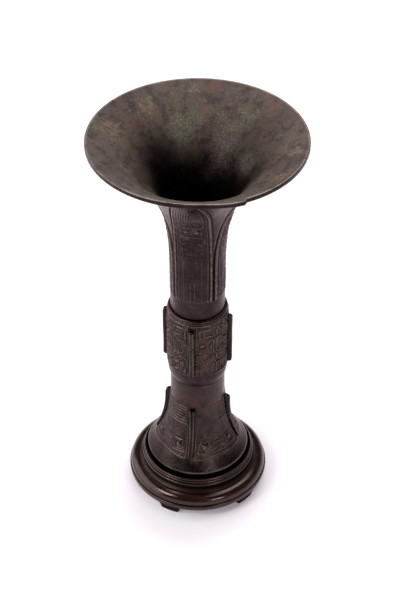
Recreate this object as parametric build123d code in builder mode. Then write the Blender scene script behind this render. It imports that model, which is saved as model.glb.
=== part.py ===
from build123d import *

import os
from math import cos, hypot, radians, sin, sqrt

# Bronze gu vessel in three sleeved castings, standing loose in a turned hardwood stand.
# Millimetres, +Z up, origin on the floor under the vessel's axis. Angles run from +X towards +Y.

# Bronze castings
MOUTH_RADIUS = 70.0
NECK_RADIUS = 18.4
NECK_HEIGHT = 133.4
NECK_STRAIGHT = 19.4
NECK_FLARE_POWER = 3.88
WALL = 2.4
LIP_ROUND = 0.6
KNOP_RADIUS = 20.4
KNOP_HEIGHT = 59.1
KNOP_SHOULDER_HEIGHT = 10.0
KNOP_SHOULDER_BULGE = 0.6
KNOP_END_STEP = 0.3
KNOP_FIELD_HEIGHT = 43.0
KNOP_BORDER_HEIGHT = 1.4
KNOP_BORDER_RISE = 0.4
KNOP_LIP_GROOVE_WIDTH = 0.9
KNOP_LIP_GROOVE_DEPTH = 3.0
TUBE_RADIUS = 18.9
FOOT_RADIUS = 35.9
FOOT_HEIGHT = 76.5
FOOT_STRAIGHT = 2.5
FOOT_FLARE_POWER = 3.5
FOOT_EDGE_THICKNESS = 1.4
FOOT_UNDERCUT_HEIGHT = 1.2
FOOT_RING_RADIUS = 33.6
FOOT_RING_WALL = 3.0
FOOT_RING_HEIGHT = 5.2

# Sleeve joints between the castings
SPIGOT_RADIUS = 18.2
FOOT_SPIGOT_LENGTH = 17.5
NECK_SPIGOT_LENGTH = 19.6
SLEEVE_CLEARANCE = 0.05
FLOOR_THICKNESS = 2.0

# Raised leaves on the neck
LEAF_COUNT = 4
LEAF_HALF_ANGLE = 40.0
LEAF_RISE = 0.5
LEAF_GAP_BELOW = 14.4
LEAF_SIDE_HEIGHT = 72.0
LEAF_POINT_HEIGHT = 35.0

# Vertical flanges on the knop and the foot
FLANGE_COUNT = 4
FLANGE_TURN = -90.0
FLANGE_THICKNESS = 3.6
FLANGE_SEAT_DEPTH = 0.8
FLANGE_ROUND = 1.5
KNOP_FLANGE_HEIGHT = 40.4
KNOP_FLANGE_RISE = 3.6
FOOT_FLANGE_START = 16.5
FOOT_FLANGE_HEIGHT = 37.5
FOOT_FLANGE_RISE_TOP = 4.2
FOOT_FLANGE_RISE_BOTTOM = 1.8

# Half masks in low relief on both sides of each flange. Their places are columns, counted from the flange's
# middle to the edge of its panel, and rows, counted up the field or the flange.
MASK_COLUMNS = 16
MASK_RISE = 0.6
MASK_LINE_WIDTH = 1.4
MASK_BEND = 1.2
KNOP_MASK_ROWS = 43
KNOP_EYE = (6.6, 26.4)
KNOP_EYE_RADII = (3.4, 2.8)
KNOP_EAR = [(13.0, 19.4), (13.0, 30.6)]
KNOP_EAR_WIDTH = 3.2
KNOP_HORN = [(4.9, 31.0), (4.9, 40.0), (14.2, 40.0), (14.2, 33.8), (8.6, 33.8)]
KNOP_JAW = [(3.6, 17.4), (14.8, 17.4), (14.8, 12.0), (11.0, 12.0)]
KNOP_SNOUT = [((4.3, 1.5), (8.7, 9.0)), ((10.2, 1.5), (15.2, 9.0))]
FOOT_MASK_ROWS = 38
FOOT_EYE = (7.6, 6.8)
FOOT_EYE_RADII = (3.0, 2.6)
FOOT_EYE_FRAME = [(4.2, 11.0), (4.2, 2.4), (11.0, 2.4), (11.0, 11.0), (4.8, 11.0)]
FOOT_BROW = [(4.2, 14.0), (7.6, 16.6), (11.2, 14.0)]
FOOT_BAR_COUNT = 6
FOOT_BAR_COLUMNS = (4.6, 11.4)
FOOT_BAR_ROWS = (25.4, 38.2)
FOOT_HOOK = [(13.0, 7.6), (15.2, 9.0), (15.2, 14.6), (12.8, 14.6)]

# Turned stand
BASE_RADIUS = 49.6
BASE_BAND_HEIGHT = 3.4
BASE_BAND_ROUND = 0.7
BASE_GROOVE_HEIGHT = 0.9
BASE_GROOVE_DEPTH = 1.8
OVOLO_RADIUS = 6.0
OVOLO_SETBACK = 0.8
COLLAR_STEP = 0.8
COLLAR_FOOT_HEIGHT = 0.6
COVE_HEIGHT = 4.2
COVE_DEPTH = 3.2
COVE_HOLLOW = 0.9
COLLAR_LIP_OVERHANG = 1.2
COLLAR_LIP_HEIGHT = 2.5
COLLAR_LIP_BULGE = 0.5
BEAD_SETBACK = 0.4
BEAD_DRAFT = 1.2
BEAD_BULGE = 0.5
COLLAR_MOUTH_GAP = 3.8
COLLAR_RIM_WIDTH = 1.0
COLLAR_LEDGE = 4.6
SEAT_HEIGHT = 5.9
SOCKET_DEPTH = 1.4
SOCKET_CLEARANCE = 0.6
TONGUE_INSET = 6.0
TONGUE_WIDTH = 3.0
TONGUE_DEPTH = 2.0
STAND_FOOT_COUNT = 5
STAND_FOOT_TURN = -105.0
STAND_FOOT_HEIGHT = 6.8
STAND_FOOT_SETBACK = 2.1
STAND_FOOT_DEPTH = 9.0
STAND_FOOT_WIDTH = 13.5
STAND_FOOT_TAPER = 14.0
TENON_RADIUS = 3.0
TENON_LENGTH = 5.0
GLUE_GAP = 0.1

# Stations that a flaring curve is drawn through
FLARE_STEPS = 8
FLANGE_STEPS = 5

# Heights above the floor, stacked from the sizes above
BASE_BOTTOM = STAND_FOOT_HEIGHT
BAND_TOP = BASE_BOTTOM + BASE_BAND_HEIGHT
OVOLO_BOTTOM = BAND_TOP + BASE_GROOVE_HEIGHT
BASE_TOP = OVOLO_BOTTOM + OVOLO_RADIUS
COVE_BOTTOM = BASE_TOP + COLLAR_FOOT_HEIGHT
COVE_TOP = COVE_BOTTOM + COVE_HEIGHT
COLLAR_LIP_TOP = COVE_TOP + COLLAR_LIP_HEIGHT
COLLAR_TOP = COLLAR_LIP_TOP + COLLAR_LIP_HEIGHT
SEAT = BASE_TOP + SEAT_HEIGHT
SOCKET_TOP = SEAT + SOCKET_DEPTH
FOOT_UNDERCUT_BOTTOM = SEAT + FOOT_RING_HEIGHT
FOOT_EDGE_BOTTOM = FOOT_UNDERCUT_BOTTOM + FOOT_UNDERCUT_HEIGHT
FOOT_EDGE_TOP = FOOT_EDGE_BOTTOM + FOOT_EDGE_THICKNESS
FOOT_FLANGE_BOTTOM = SEAT + FOOT_FLANGE_START
KNOP_BOTTOM = SEAT + FOOT_HEIGHT
FOOT_FLARE_TOP = KNOP_BOTTOM - FOOT_STRAIGHT
KNOP_SHOULDER = KNOP_BOTTOM + KNOP_SHOULDER_HEIGHT
KNOP_FIELD_BOTTOM = KNOP_SHOULDER + KNOP_BORDER_HEIGHT
KNOP_FIELD_TOP = KNOP_FIELD_BOTTOM + KNOP_FIELD_HEIGHT
KNOP_FLANGE_BOTTOM = KNOP_FIELD_BOTTOM
KNOP_FLANGE_TOP = KNOP_FLANGE_BOTTOM + KNOP_FLANGE_HEIGHT
KNOP_TOP = KNOP_BOTTOM + KNOP_HEIGHT
FLOOR_BOTTOM = KNOP_BOTTOM + FOOT_SPIGOT_LENGTH
FLOOR_TOP = FLOOR_BOTTOM + FLOOR_THICKNESS
NECK_BOTTOM = KNOP_TOP - NECK_SPIGOT_LENGTH
NECK_SHOULDER = KNOP_TOP - KNOP_LIP_GROOVE_DEPTH
NECK_FLARE_BOTTOM = KNOP_TOP + NECK_STRAIGHT
LEAF_BOTTOM = KNOP_TOP + LEAF_GAP_BELOW
LEAF_SHOULDER = LEAF_BOTTOM + LEAF_SIDE_HEIGHT
LEAF_TIP = LEAF_SHOULDER + LEAF_POINT_HEIGHT
RIM_TOP = KNOP_TOP + NECK_HEIGHT

# Angles and steps of the panels between flanges
HALF_PANEL = 180 / FLANGE_COUNT
KNOP_ROW = KNOP_FIELD_HEIGHT / KNOP_MASK_ROWS
FOOT_ROW = FOOT_FLANGE_HEIGHT / FOOT_MASK_ROWS

# Radii and widths that follow from a fit
BORE_RADIUS = SPIGOT_RADIUS + SLEEVE_CLEARANCE
NECK_BORE_RADIUS = NECK_RADIUS - WALL
TUBE_BORE_RADIUS = TUBE_RADIUS - WALL
LIP_GROOVE_RADIUS = NECK_RADIUS + KNOP_LIP_GROOVE_WIDTH
KNOP_BORDER_RADIUS = KNOP_RADIUS + KNOP_BORDER_RISE
KNOP_END_RADIUS = TUBE_RADIUS + KNOP_END_STEP
KNOP_FLANGE_SEAT = KNOP_RADIUS - FLANGE_SEAT_DEPTH
LEAF_HALF_WIDTH = (NECK_RADIUS + LEAF_RISE) * sin(radians(LEAF_HALF_ANGLE))
SLOT_WIDTH = FLANGE_THICKNESS + 2 * SLEEVE_CLEARANCE
FOOT_RING_BORE_RADIUS = FOOT_RING_RADIUS - FOOT_RING_WALL
SOCKET_RADIUS = FOOT_RING_RADIUS + SOCKET_CLEARANCE
COLLAR_MOUTH_RADIUS = FOOT_RING_RADIUS + COLLAR_MOUTH_GAP
COLLAR_BORE_RADIUS = FOOT_RING_RADIUS - COLLAR_LEDGE
BEAD_TOP_RADIUS = COLLAR_MOUTH_RADIUS + COLLAR_RIM_WIDTH
BEAD_RADIUS = BEAD_TOP_RADIUS + BEAD_DRAFT
COLLAR_LIP_RADIUS = BEAD_RADIUS + BEAD_SETBACK
COVE_RADIUS = COLLAR_LIP_RADIUS - COLLAR_LIP_OVERHANG
COLLAR_FOOT_RADIUS = COVE_RADIUS + COVE_DEPTH
TONGUE_RADIUS = COLLAR_FOOT_RADIUS - TONGUE_INSET
BASE_TOP_RADIUS = COLLAR_FOOT_RADIUS + COLLAR_STEP
BASE_GROOVE_RADIUS = BASE_RADIUS - BASE_GROOVE_DEPTH
OVOLO_EDGE_RADIUS = BASE_RADIUS - OVOLO_SETBACK
OVOLO_WIDTH = OVOLO_EDGE_RADIUS - BASE_TOP_RADIUS
STAND_FOOT_RADIUS = BASE_RADIUS - STAND_FOOT_SETBACK
TENON_PLACE = STAND_FOOT_RADIUS - STAND_FOOT_DEPTH / 2

# The flare's slope at the mouth sets how tall the lip's upright edge is for the wall
MOUTH_SLOPE = NECK_FLARE_POWER * (MOUTH_RADIUS - NECK_RADIUS) / (RIM_TOP - NECK_FLARE_BOTTOM)
LIP_EDGE_BOTTOM = RIM_TOP - WALL * sqrt(1 + 1 / MOUTH_SLOPE**2)

# Each flaring wall leaves its tube upright and runs out to its edge
NECK_FLARE = ((NECK_RADIUS, NECK_FLARE_BOTTOM), (MOUTH_RADIUS, LIP_EDGE_BOTTOM), NECK_FLARE_POWER)
FOOT_FLARE = ((TUBE_RADIUS, FOOT_FLARE_TOP), (FOOT_RADIUS, FOOT_EDGE_TOP), FOOT_FLARE_POWER)


def flare_point(wall, height, depth=0.0):
    """Point on a flaring wall at that height, or that deep under its outer face, square to it."""
    (start_radius, start_height), (end_radius, end_height), power = wall
    run = end_radius - start_radius
    rise = end_height - start_height
    share = (height - start_height) / rise
    slope = run / rise * power * share ** (power - 1)
    length = sqrt(1 + slope**2)
    radius = start_radius + run * share**power
    return (radius - depth / length, height + depth * slope / length)


def flare_line(wall, depth=0.0):
    """Points along a whole flaring wall, from its tube to its edge."""
    bottom, top = wall[0][1], wall[1][1]
    heights = [bottom + (top - bottom) * step / FLARE_STEPS for step in range(FLARE_STEPS + 1)]
    return [flare_point(wall, height, depth) for height in heights]


def radial_plane(angle):
    """Upright plane through the axis: local x runs outwards at that angle, local y runs up."""
    turn = radians(angle)
    return Plane(origin=(0, 0, 0), x_dir=(cos(turn), sin(turn), 0), z_dir=(sin(turn), -cos(turn), 0))


def facing_plane(angle):
    """Upright plane through the axis that faces outwards at that angle: local y runs up."""
    turn = radians(angle)
    return Plane(origin=(0, 0, 0), x_dir=(-sin(turn), cos(turn), 0), z_dir=(cos(turn), sin(turn), 0))


def level_plane(angle, height):
    """Level plane at that height: local x runs outwards at that angle."""
    turn = radians(angle)
    return Plane(origin=(0, 0, height), x_dir=(cos(turn), sin(turn), 0), z_dir=(0, 0, 1))


def angles_round(count, first):
    """Evenly spaced angles round the axis."""
    return [first + 360 / count * number for number in range(count)]


def half_panels():
    """Middle angle of each half of the first flange's panel, and which side of the flange it lies on."""
    return [(FLANGE_TURN + side * HALF_PANEL / 2, side) for side in (-1, 1)]


def knop_place(side, place):
    """Point of the knop's mask on the plane that faces its half panel."""
    column, row = place
    turn = radians(HALF_PANEL * (column / MASK_COLUMNS - 0.5))
    return (side * KNOP_RADIUS * sin(turn), KNOP_FIELD_BOTTOM + KNOP_ROW * row)


def foot_place(side, place):
    """Point of the foot's mask on the plane that faces its half panel."""
    column, row = place
    turn = radians(HALF_PANEL * (column / MASK_COLUMNS - 0.5))
    height = FOOT_FLANGE_BOTTOM + FOOT_ROW * row
    return (side * flare_point(FOOT_FLARE, height)[0] * sin(turn), height)


def ribbon(points, width=MASK_LINE_WIDTH):
    """A band of that width along straight runs with rounded corners, in the open sketch."""
    with BuildLine() as path:
        if len(points) > 2:
            FilletPolyline(*points, radius=MASK_BEND)
        else:
            Line(*points)
    trace(path.line, line_width=width)


def foot_flange_edges(clearance=0.0):
    """Inner and outer edge of a foot flange, from its bottom end to its top end."""
    inner = []
    outer = []
    for step in range(FLANGE_STEPS + 1):
        share = step / FLANGE_STEPS
        height = FOOT_FLANGE_BOTTOM - clearance + (FOOT_FLANGE_HEIGHT + 2 * clearance) * share
        radius = flare_point(FOOT_FLARE, height)[0]
        rise = FOOT_FLANGE_RISE_BOTTOM + (FOOT_FLANGE_RISE_TOP - FOOT_FLANGE_RISE_BOTTOM) * share
        inner.append((radius - FLANGE_SEAT_DEPTH - clearance, height))
        outer.append((radius + rise, height))
    return inner, outer


def reach(edge):
    """How far an edge's middle stands from the axis."""
    return hypot(edge.center().X, edge.center().Y)


def free_corners(edges, angle):
    """The corner edges on a flange's free side, one at each end."""
    ends = edges.filter_by(Axis((0, 0, 0), radial_plane(angle).z_dir)).group_by(Axis.Z)
    return [ends[0].sort_by(reach)[-1], ends[-1].sort_by(reach)[-1]]


def save(part, name):
    """Labels a finished piece and writes it."""
    part.label = name
    export_step(part, f"parts/{name}.step")


os.makedirs("parts", exist_ok=True)

# Upright prisms of the leaves' outline, pointed at the top
with BuildPart() as leaf_outlines:
    for angle in angles_round(LEAF_COUNT, FLANGE_TURN):
        with BuildSketch(facing_plane(angle)):
            with BuildLine():
                Polyline(
                    (-LEAF_HALF_WIDTH, LEAF_SHOULDER),
                    (-LEAF_HALF_WIDTH, LEAF_BOTTOM),
                    (LEAF_HALF_WIDTH, LEAF_BOTTOM),
                    (LEAF_HALF_WIDTH, LEAF_SHOULDER),
                )
                TangentArc((LEAF_HALF_WIDTH, LEAF_SHOULDER), (0, LEAF_TIP), tangent=(0, 1))
                TangentArc((-LEAF_HALF_WIDTH, LEAF_SHOULDER), (0, LEAF_TIP), tangent=(0, 1))
            make_face()
        extrude(amount=MOUTH_RADIUS)

# Raised leaves: a skin over the neck's outer face, kept inside those outlines
with BuildPart() as leaves:
    with BuildSketch(Plane.XZ):
        with BuildLine():
            root = flare_line(NECK_FLARE, LEAF_RISE)
            face = flare_line(NECK_FLARE, -LEAF_RISE)
            Spline(*root)
            Spline(*face)
            Polyline(root[0], (root[0][0], LEAF_BOTTOM), (face[0][0], LEAF_BOTTOM), face[0])
            Line(root[-1], face[-1])
        make_face()
    revolve(axis=Axis.Z)
    add(leaf_outlines.part, mode=Mode.INTERSECT)

# Neck section: trumpet mouth, straight neck and the spigot that sits in the knop
with BuildPart() as neck_section:
    with BuildSketch(Plane.XZ):
        with BuildLine():
            outer = flare_line(NECK_FLARE)
            inner = flare_line(NECK_FLARE, WALL)
            Spline(*outer)
            Spline(*inner)
            Polyline(outer[-1], (MOUTH_RADIUS, RIM_TOP), inner[-1])
            Polyline(
                inner[0],
                (NECK_BORE_RADIUS, NECK_BOTTOM),
                (SPIGOT_RADIUS, NECK_BOTTOM),
                (SPIGOT_RADIUS, NECK_SHOULDER),
                (NECK_RADIUS, NECK_SHOULDER),
                outer[0],
            )
        make_face()
    revolve(axis=Axis.Z)
    lip_edges = neck_section.edges().filter_by(GeomType.CIRCLE).sort_by(SortBy.RADIUS)[-2:]
    fillet(lip_edges, LIP_ROUND)
    add(leaves.part)
save(neck_section.part, "neck_section")

# Upright prisms of the knop mask's outline: eyes, ears, horns, jaws and the blocks of the snout
with BuildPart() as knop_mask_outline:
    for angle, side in half_panels():
        with BuildSketch(facing_plane(angle).offset(NECK_BORE_RADIUS)):
            with Locations(knop_place(side, KNOP_EYE)):
                Ellipse(*KNOP_EYE_RADII)
            ribbon([knop_place(side, place) for place in KNOP_EAR], KNOP_EAR_WIDTH)
            ribbon([knop_place(side, place) for place in KNOP_HORN])
            ribbon([knop_place(side, place) for place in KNOP_JAW])
            for low, high in KNOP_SNOUT:
                left, bottom = knop_place(side, low)
                right, top = knop_place(side, high)
                with Locations(((left + right) / 2, (bottom + top) / 2)):
                    Rectangle(abs(right - left), top - bottom)
        extrude(amount=KNOP_RADIUS)

# Raised knop mask: a skin over the knop's field, kept inside that outline
with BuildPart() as knop_mask:
    with BuildSketch(Plane.XY.offset(KNOP_FIELD_BOTTOM)):
        Circle(KNOP_RADIUS + MASK_RISE)
        Circle(KNOP_RADIUS - MASK_RISE, mode=Mode.SUBTRACT)
    extrude(amount=KNOP_FIELD_HEIGHT)
    add(knop_mask_outline.part, mode=Mode.INTERSECT)

# Knop section: the sleeve between neck and foot, with a lip round the neck and four flange seats
with BuildPart() as knop_section:
    with BuildSketch(Plane.XZ):
        with BuildLine():
            SagittaArc(
                (KNOP_END_RADIUS, KNOP_BOTTOM),
                (KNOP_BORDER_RADIUS, KNOP_SHOULDER),
                -KNOP_SHOULDER_BULGE,
            )
            Polyline(
                (KNOP_BORDER_RADIUS, KNOP_SHOULDER),
                (KNOP_BORDER_RADIUS, KNOP_FIELD_BOTTOM),
                (KNOP_RADIUS, KNOP_FIELD_BOTTOM),
                (KNOP_RADIUS, KNOP_FIELD_TOP),
                (KNOP_BORDER_RADIUS, KNOP_FIELD_TOP),
                (KNOP_BORDER_RADIUS, KNOP_FIELD_TOP + KNOP_BORDER_HEIGHT),
                (KNOP_RADIUS, KNOP_FIELD_TOP + KNOP_BORDER_HEIGHT),
                (KNOP_RADIUS, KNOP_TOP),
                (LIP_GROOVE_RADIUS, KNOP_TOP),
                (LIP_GROOVE_RADIUS, NECK_SHOULDER),
                (BORE_RADIUS, NECK_SHOULDER),
                (BORE_RADIUS, NECK_BOTTOM),
                (NECK_BORE_RADIUS, NECK_BOTTOM),
                (NECK_BORE_RADIUS, FLOOR_TOP),
                (BORE_RADIUS, FLOOR_TOP),
                (BORE_RADIUS, KNOP_BOTTOM),
                (KNOP_END_RADIUS, KNOP_BOTTOM),
            )
        make_face()
    revolve(axis=Axis.Z)
    for angle in angles_round(FLANGE_COUNT, FLANGE_TURN):
        with BuildSketch(radial_plane(angle)):
            with Locations((KNOP_FLANGE_SEAT, (KNOP_FLANGE_BOTTOM + KNOP_FLANGE_TOP) / 2)):
                Rectangle(
                    KNOP_FLANGE_RISE,
                    KNOP_FLANGE_HEIGHT + 2 * SLEEVE_CLEARANCE,
                    align=(Align.MIN, Align.CENTER),
                )
        extrude(amount=SLOT_WIDTH / 2, both=True, mode=Mode.SUBTRACT)
    with PolarLocations(0, FLANGE_COUNT):
        add(knop_mask.part)
save(knop_section.part, "knop_section")

# Upright prisms of the foot mask's outline: stacks of bars over the brows, framed eyes, and hooks
with BuildPart() as foot_mask_outline:
    for angle, side in half_panels():
        with BuildSketch(facing_plane(angle).offset(NECK_BORE_RADIUS)):
            with Locations(foot_place(side, FOOT_EYE)):
                Ellipse(*FOOT_EYE_RADII)
            ribbon([foot_place(side, place) for place in FOOT_EYE_FRAME])
            ribbon([foot_place(side, place) for place in FOOT_BROW])
            ribbon([foot_place(side, place) for place in FOOT_HOOK])
            low_row, high_row = FOOT_BAR_ROWS
            for bar in range(FOOT_BAR_COUNT):
                row = low_row + (high_row - low_row) * bar / (FOOT_BAR_COUNT - 1)
                ribbon([foot_place(side, (column, row)) for column in FOOT_BAR_COLUMNS])
        extrude(amount=FOOT_RADIUS)

# Raised foot mask: a skin over the flare's outer face, kept inside that outline
with BuildPart() as foot_mask:
    with BuildSketch(Plane.XZ):
        with BuildLine():
            root = flare_line(FOOT_FLARE, MASK_RISE)
            face = flare_line(FOOT_FLARE, -MASK_RISE)
            Spline(*root)
            Spline(*face)
            Line(root[0], face[0])
            Line(root[-1], face[-1])
        make_face()
    revolve(axis=Axis.Z)
    add(foot_mask_outline.part, mode=Mode.INTERSECT)

# Foot section: spigot, short tube and hollow flaring foot on a stepped-in foot ring
with BuildPart() as foot_section:
    with BuildSketch(Plane.XZ):
        with BuildLine():
            outer = flare_line(FOOT_FLARE)
            Spline(*outer)
            Polyline(
                outer[-1],
                (FOOT_RADIUS, FOOT_EDGE_BOTTOM),
                (FOOT_RING_RADIUS, FOOT_UNDERCUT_BOTTOM),
                (FOOT_RING_RADIUS, SEAT),
                (0, SEAT),
                (0, FLOOR_BOTTOM),
                (SPIGOT_RADIUS, FLOOR_BOTTOM),
                (SPIGOT_RADIUS, KNOP_BOTTOM),
                (TUBE_RADIUS, KNOP_BOTTOM),
                outer[0],
            )
        make_face()
    revolve(axis=Axis.Z)
    with BuildSketch(Plane.XZ):
        with BuildLine():
            inner = flare_line(FOOT_FLARE, WALL)
            Spline(*inner)
            Polyline(
                inner[-1],
                (inner[-1][0], SEAT),
                (0, SEAT),
                (0, FLOOR_BOTTOM),
                (TUBE_BORE_RADIUS, FLOOR_BOTTOM),
                inner[0],
            )
        make_face()
        with Locations((0, SEAT)):
            Rectangle(
                FOOT_RING_BORE_RADIUS,
                FLOOR_BOTTOM - SEAT,
                align=(Align.MIN, Align.MIN),
                mode=Mode.INTERSECT,
            )
    revolve(axis=Axis.Z, mode=Mode.SUBTRACT)
    for angle in angles_round(FLANGE_COUNT, FLANGE_TURN):
        with BuildSketch(radial_plane(angle)):
            with BuildLine():
                seat_edge, free_edge = foot_flange_edges(SLEEVE_CLEARANCE)
                Spline(*seat_edge)
                Spline(*free_edge)
                Line(seat_edge[0], free_edge[0])
                Line(seat_edge[-1], free_edge[-1])
            make_face()
        extrude(amount=SLOT_WIDTH / 2, both=True, mode=Mode.SUBTRACT)
    with PolarLocations(0, FLANGE_COUNT):
        add(foot_mask.part)
save(foot_section.part, "foot_section")

# Vessel floor: the disc that closes the cup, held between the foot's spigot and the knop
with BuildPart() as vessel_floor:
    with BuildSketch(Plane.XY.offset(FLOOR_BOTTOM)):
        Circle(SPIGOT_RADIUS)
    extrude(amount=FLOOR_THICKNESS)
save(vessel_floor.part, "vessel_floor")

# Knop flanges: upright bars let into the knop's wall
for number, angle in enumerate(angles_round(FLANGE_COUNT, FLANGE_TURN), start=1):
    with BuildPart() as knop_flange:
        with BuildSketch(radial_plane(angle)):
            with Locations((KNOP_FLANGE_SEAT, KNOP_FLANGE_BOTTOM)):
                Rectangle(
                    FLANGE_SEAT_DEPTH + KNOP_FLANGE_RISE,
                    KNOP_FLANGE_HEIGHT,
                    align=(Align.MIN, Align.MIN),
                )
        extrude(amount=FLANGE_THICKNESS / 2, both=True)
        fillet(free_corners(knop_flange.edges(), angle), FLANGE_ROUND)
    save(knop_flange.part, f"knop_flange_{number}")

# Foot flanges: bars that follow the flare, let into the foot's wall
for number, angle in enumerate(angles_round(FLANGE_COUNT, FLANGE_TURN), start=1):
    with BuildPart() as foot_flange:
        with BuildSketch(radial_plane(angle)):
            with BuildLine():
                seat_edge, free_edge = foot_flange_edges()
                Spline(*seat_edge)
                Spline(*free_edge)
                Line(seat_edge[0], free_edge[0])
                Line(seat_edge[-1], free_edge[-1])
            make_face()
        extrude(amount=FLANGE_THICKNESS / 2, both=True)
        fillet(free_corners(foot_flange.edges(), angle), FLANGE_ROUND)
    save(foot_flange.part, f"foot_flange_{number}")

# Stand base: turned disc with a band, a groove and an ovolo, grooved for the collar
with BuildPart() as stand_base:
    with BuildSketch(Plane.XZ):
        with BuildLine():
            Polyline(
                (BASE_TOP_RADIUS, BASE_TOP),
                (0, BASE_TOP),
                (0, BASE_BOTTOM),
                (BASE_RADIUS, BASE_BOTTOM),
                (BASE_RADIUS, BAND_TOP),
                (BASE_GROOVE_RADIUS, BAND_TOP),
                (BASE_GROOVE_RADIUS, OVOLO_BOTTOM),
                (OVOLO_EDGE_RADIUS, OVOLO_BOTTOM),
            )
            EllipticalCenterArc(
                (BASE_TOP_RADIUS, OVOLO_BOTTOM),
                OVOLO_WIDTH,
                OVOLO_RADIUS,
                arc_size=90,
            )
        make_face()
    revolve(axis=Axis.Z)
    fillet(
        stand_base.edges().filter_by(GeomType.CIRCLE).sort_by(SortBy.RADIUS)[-2:],
        BASE_BAND_ROUND,
    )
    with BuildSketch(Plane.XY.offset(BASE_TOP)):
        Circle(TONGUE_RADIUS + GLUE_GAP)
        Circle(TONGUE_RADIUS - TONGUE_WIDTH - GLUE_GAP, mode=Mode.SUBTRACT)
    extrude(amount=-TONGUE_DEPTH - GLUE_GAP, mode=Mode.SUBTRACT)
    with BuildSketch(Plane.XY.offset(BASE_BOTTOM)):
        with PolarLocations(TENON_PLACE, STAND_FOOT_COUNT, start_angle=STAND_FOOT_TURN):
            Circle(TENON_RADIUS + GLUE_GAP)
    extrude(amount=TENON_LENGTH + GLUE_GAP, mode=Mode.SUBTRACT)
save(stand_base.part, "stand_base")

# Stand collar: moulded ring with a cove, a lip and a bead, and the socket for the vessel's foot ring
with BuildPart() as stand_collar:
    with BuildSketch(Plane.XZ):
        with BuildLine():
            SagittaArc((COLLAR_FOOT_RADIUS, COVE_BOTTOM), (COVE_RADIUS, COVE_TOP), COVE_HOLLOW)
            Line((COVE_RADIUS, COVE_TOP), (COLLAR_LIP_RADIUS, COVE_TOP))
            SagittaArc(
                (COLLAR_LIP_RADIUS, COVE_TOP),
                (COLLAR_LIP_RADIUS, COLLAR_LIP_TOP),
                -COLLAR_LIP_BULGE,
            )
            Line((COLLAR_LIP_RADIUS, COLLAR_LIP_TOP), (BEAD_RADIUS, COLLAR_LIP_TOP))
            SagittaArc(
                (BEAD_RADIUS, COLLAR_LIP_TOP),
                (BEAD_TOP_RADIUS, COLLAR_TOP),
                -BEAD_BULGE,
            )
            Polyline(
                (BEAD_TOP_RADIUS, COLLAR_TOP),
                (COLLAR_MOUTH_RADIUS, COLLAR_TOP),
                (SOCKET_RADIUS, SOCKET_TOP),
                (SOCKET_RADIUS, SEAT),
                (COLLAR_BORE_RADIUS, SEAT),
                (COLLAR_BORE_RADIUS, BASE_TOP),
                (TONGUE_RADIUS - TONGUE_WIDTH, BASE_TOP),
                (TONGUE_RADIUS - TONGUE_WIDTH, BASE_TOP - TONGUE_DEPTH),
                (TONGUE_RADIUS, BASE_TOP - TONGUE_DEPTH),
                (TONGUE_RADIUS, BASE_TOP),
                (COLLAR_FOOT_RADIUS, BASE_TOP),
                (COLLAR_FOOT_RADIUS, COVE_BOTTOM),
            )
        make_face()
    revolve(axis=Axis.Z)
save(stand_collar.part, "stand_collar")

# Stand feet: blocks that widen towards the base, each with a round tenon
for number, angle in enumerate(angles_round(STAND_FOOT_COUNT, STAND_FOOT_TURN), start=1):
    with BuildPart() as stand_foot:
        with BuildSketch(level_plane(angle, 0)):
            with BuildLine():
                half = STAND_FOOT_WIDTH / 2
                back = STAND_FOOT_RADIUS - STAND_FOOT_DEPTH
                front = sqrt(STAND_FOOT_RADIUS**2 - half**2)
                ThreePointArc((front, -half), (STAND_FOOT_RADIUS, 0), (front, half))
                Polyline((front, half), (back, half), (back, -half), (front, -half))
            make_face()
        extrude(amount=STAND_FOOT_HEIGHT, taper=-STAND_FOOT_TAPER)
        with BuildSketch(level_plane(angle, STAND_FOOT_HEIGHT)):
            with Locations((TENON_PLACE, 0)):
                Circle(TENON_RADIUS)
        extrude(amount=TENON_LENGTH)
    save(stand_foot.part, f"stand_foot_{number}")
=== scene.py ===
from math import cos, pi, radians, sin, sqrt

import bpy
import numpy as np
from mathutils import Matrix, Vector


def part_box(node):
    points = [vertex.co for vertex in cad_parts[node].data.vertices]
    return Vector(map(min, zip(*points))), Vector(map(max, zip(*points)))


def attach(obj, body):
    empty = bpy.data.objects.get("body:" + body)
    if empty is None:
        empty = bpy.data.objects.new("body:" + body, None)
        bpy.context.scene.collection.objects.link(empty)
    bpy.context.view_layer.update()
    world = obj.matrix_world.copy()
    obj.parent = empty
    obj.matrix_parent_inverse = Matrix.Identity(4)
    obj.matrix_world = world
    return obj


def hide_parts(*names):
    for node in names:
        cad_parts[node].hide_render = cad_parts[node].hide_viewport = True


# A dark bronze gu with cast ornament, standing in a turned and waxed hardwood stand.
# Sizes are millimetres and angles degrees, until a mesh, lamp or camera is made in metres.

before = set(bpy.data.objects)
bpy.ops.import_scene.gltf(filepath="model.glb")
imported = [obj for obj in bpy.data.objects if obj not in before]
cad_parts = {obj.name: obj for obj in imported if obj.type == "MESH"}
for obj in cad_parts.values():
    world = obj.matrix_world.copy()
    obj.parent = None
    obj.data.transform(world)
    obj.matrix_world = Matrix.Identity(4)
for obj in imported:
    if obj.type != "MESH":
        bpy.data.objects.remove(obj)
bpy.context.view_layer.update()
MM = 0.001


def box_mm(node):
    """Lowest and highest corner of a CAD node, in millimetres."""
    low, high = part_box(node)
    return low / MM, high / MM


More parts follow.
